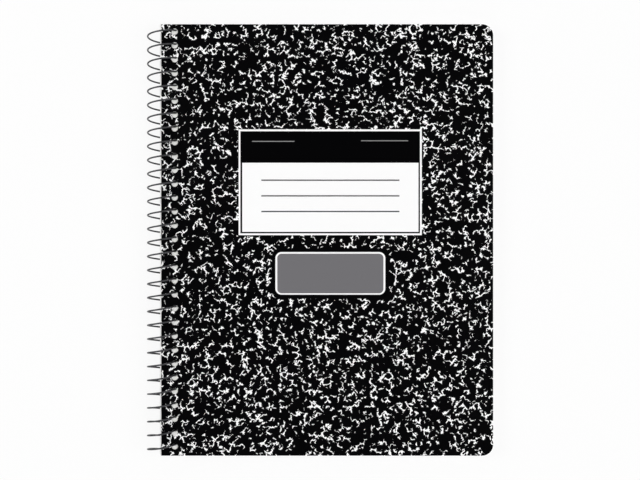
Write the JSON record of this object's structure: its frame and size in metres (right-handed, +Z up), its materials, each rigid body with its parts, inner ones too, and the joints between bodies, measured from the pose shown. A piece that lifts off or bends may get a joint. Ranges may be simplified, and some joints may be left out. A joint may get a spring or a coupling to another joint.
{
  "type": "composition notebook",
  "caption": "Wire-bound composition notebook: two marbled board covers and a block of quad-ruled sheets with rounded corners on a single spiral wire; the front cover opens flat.",
  "frame": {"origin": "middle of the notebook's footprint, on the table that it rests on", "axes": "+Y up the page along the spine, +X from the spine to the fore-edge, +Z up out of the front cover; the book rests on the bottom of its spiral and its fore-edge, so its covers lean 1.4 degrees down towards +X"},
  "size_m": [0.1995, 0.2492, 0.0175],
  "materials": {
    "printed_board": "black and white marble print, lightly coated",
    "sheets": "matt, white, uncoated",
    "wire": "dark grey, smooth drawn wire"
  },
  "bodies": {
    "sheets": {"page_block": "sheets", "back_cover": "printed_board"},
    "spiral": {"binding_wire": "wire"},
    "front": {"front_cover": "printed_board"}
  },
  "joints": [
    {"name": "front_cover_turn", "type": "hinge", "parent": "sheets", "child": "front", "pos_m": [-0.09093, 0, 0.00877], "axis": [0, -1, 0], "range_deg": [0, 180]},
    {"name": "wire_shift", "type": "slide", "parent": "sheets", "child": "spiral", "axis": [0, 1, 0], "range_m": [0, 0.00213]}
  ],
  "couplings": [
    {"joint": "wire_shift", "follows": "front_cover_turn", "m_per_rad": 0.000678}
  ]
}
